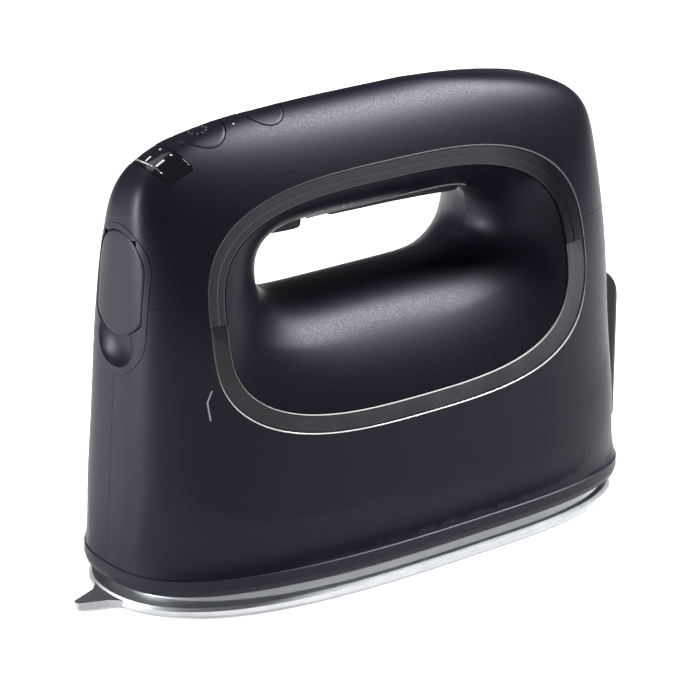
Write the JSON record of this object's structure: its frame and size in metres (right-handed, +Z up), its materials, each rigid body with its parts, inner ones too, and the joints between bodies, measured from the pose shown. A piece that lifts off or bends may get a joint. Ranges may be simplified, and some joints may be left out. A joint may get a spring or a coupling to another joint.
{
  "type": "cordless steam iron",
  "caption": "Compact cordless steam iron: rounded housing pierced by a grip opening with a ring band, on a flat beaked sole with water lid, trigger, slider and top buttons.",
  "frame": {"origin": "on the floor under the middle of the iron's outline, sole flat on the floor", "axes": "+Z up, nose towards -Y, heel and stand socket towards +Y, +X to the iron's side"},
  "size_m": [0.0876, 0.205, 0.1444],
  "materials": {
    "satin_housing": "fine satin, blue-black",
    "grip_satin": "fine satin with a soft sheen",
    "black_plastic": "plain moulded black",
    "grey_trim": "translucent dark grey, semi-gloss",
    "smoke_window": "clear smoke, polished",
    "clear_tank": "clear smoke tank resin",
    "sole_aluminium": "bead-blasted and coated",
    "steel": "bright drawn steel",
    "silicone": "grey silicone",
    "heat_resin": "glass-filled heat-resistant resin",
    "circuit_board": "green solder mask",
    "led_amber": "moulded lens",
    "contact_brass": "nickel-brass contact"
  },
  "bodies": {
    "iron": {"base_screws": "steel", "base_skirt": "black_plastic", "chamber_cover": "steel", "contact_studs": "contact_brass", "control_board": "circuit_board", "display_lens": "smoke_window", "fill_lid_frame": "satin_housing", "fill_lid_pin": "steel", "fill_neck": "clear_tank", "fill_seal": "silicone", "grip_lining_left": "grip_satin", "grip_lining_right": "grip_satin", "handle_carrier": "black_plastic", "handle_trim_left": "grey_trim", "handle_trim_right": "grey_trim", "heat_shield": "heat_resin", "heating_element": "steel", "housing_screws": "steel", "indicator_leds": "led_amber", "lower_housing_left": "satin_housing", "lower_housing_right": "satin_housing", "pump": "steel", "pump_tube": "silicone", "slot_plate": "black_plastic", "sole_casting": "sole_aluminium", "sole_plate": "sole_aluminium", "steam_switch": "black_plastic", "tank_window_left": "smoke_window", "tank_window_right": "smoke_window", "terminal_cover": "black_plastic", "thermal_fuse": "steel", "thermistor": "steel", "trigger_pin": "steel", "trigger_spring": "steel", "upper_housing": "satin_housing", "water_tank": "clear_tank", "wiring": "silicone"},
    "steam_trigger": {"steam_trigger": "black_plastic"},
    "mode_slider": {"mode_slider": "black_plastic"},
    "power_button": {"power_button": "satin_housing"},
    "steam_button": {"steam_button": "satin_housing"},
    "fill_lid": {"fill_lid": "satin_housing"}
  },
  "joints": [
    {"name": "trigger_hinge", "type": "hinge", "parent": "iron", "child": "steam_trigger", "pos_m": [0, 0.0375, 0.115], "axis": [-1, 0, 0], "range_deg": [0, 3], "stiffness_Nm_per_rad": 1.2, "springref_deg": -2.86, "deforming": ["trigger_spring"]},
    {"name": "slider_slide", "type": "slide", "parent": "iron", "child": "mode_slider", "axis": [0, 1, 0], "range_m": [0, 0.005]},
    {"name": "power_press", "type": "slide", "parent": "iron", "child": "power_button", "axis": [0, 0.2079, -0.9781], "range_m": [0, 0.0008], "stiffness_N_per_m": 1500, "springref_m": -0.0006},
    {"name": "steam_press", "type": "slide", "parent": "iron", "child": "steam_button", "axis": [0, 0.0872, -0.9962], "range_m": [0, 0.0008], "stiffness_N_per_m": 1500, "springref_m": -0.0006},
    {"name": "lid_hinge", "type": "hinge", "parent": "iron", "child": "fill_lid", "pos_m": [0, -0.0802, 0.1134], "axis": [-1, 0, 0], "range_deg": [0, 50]}
  ]
}
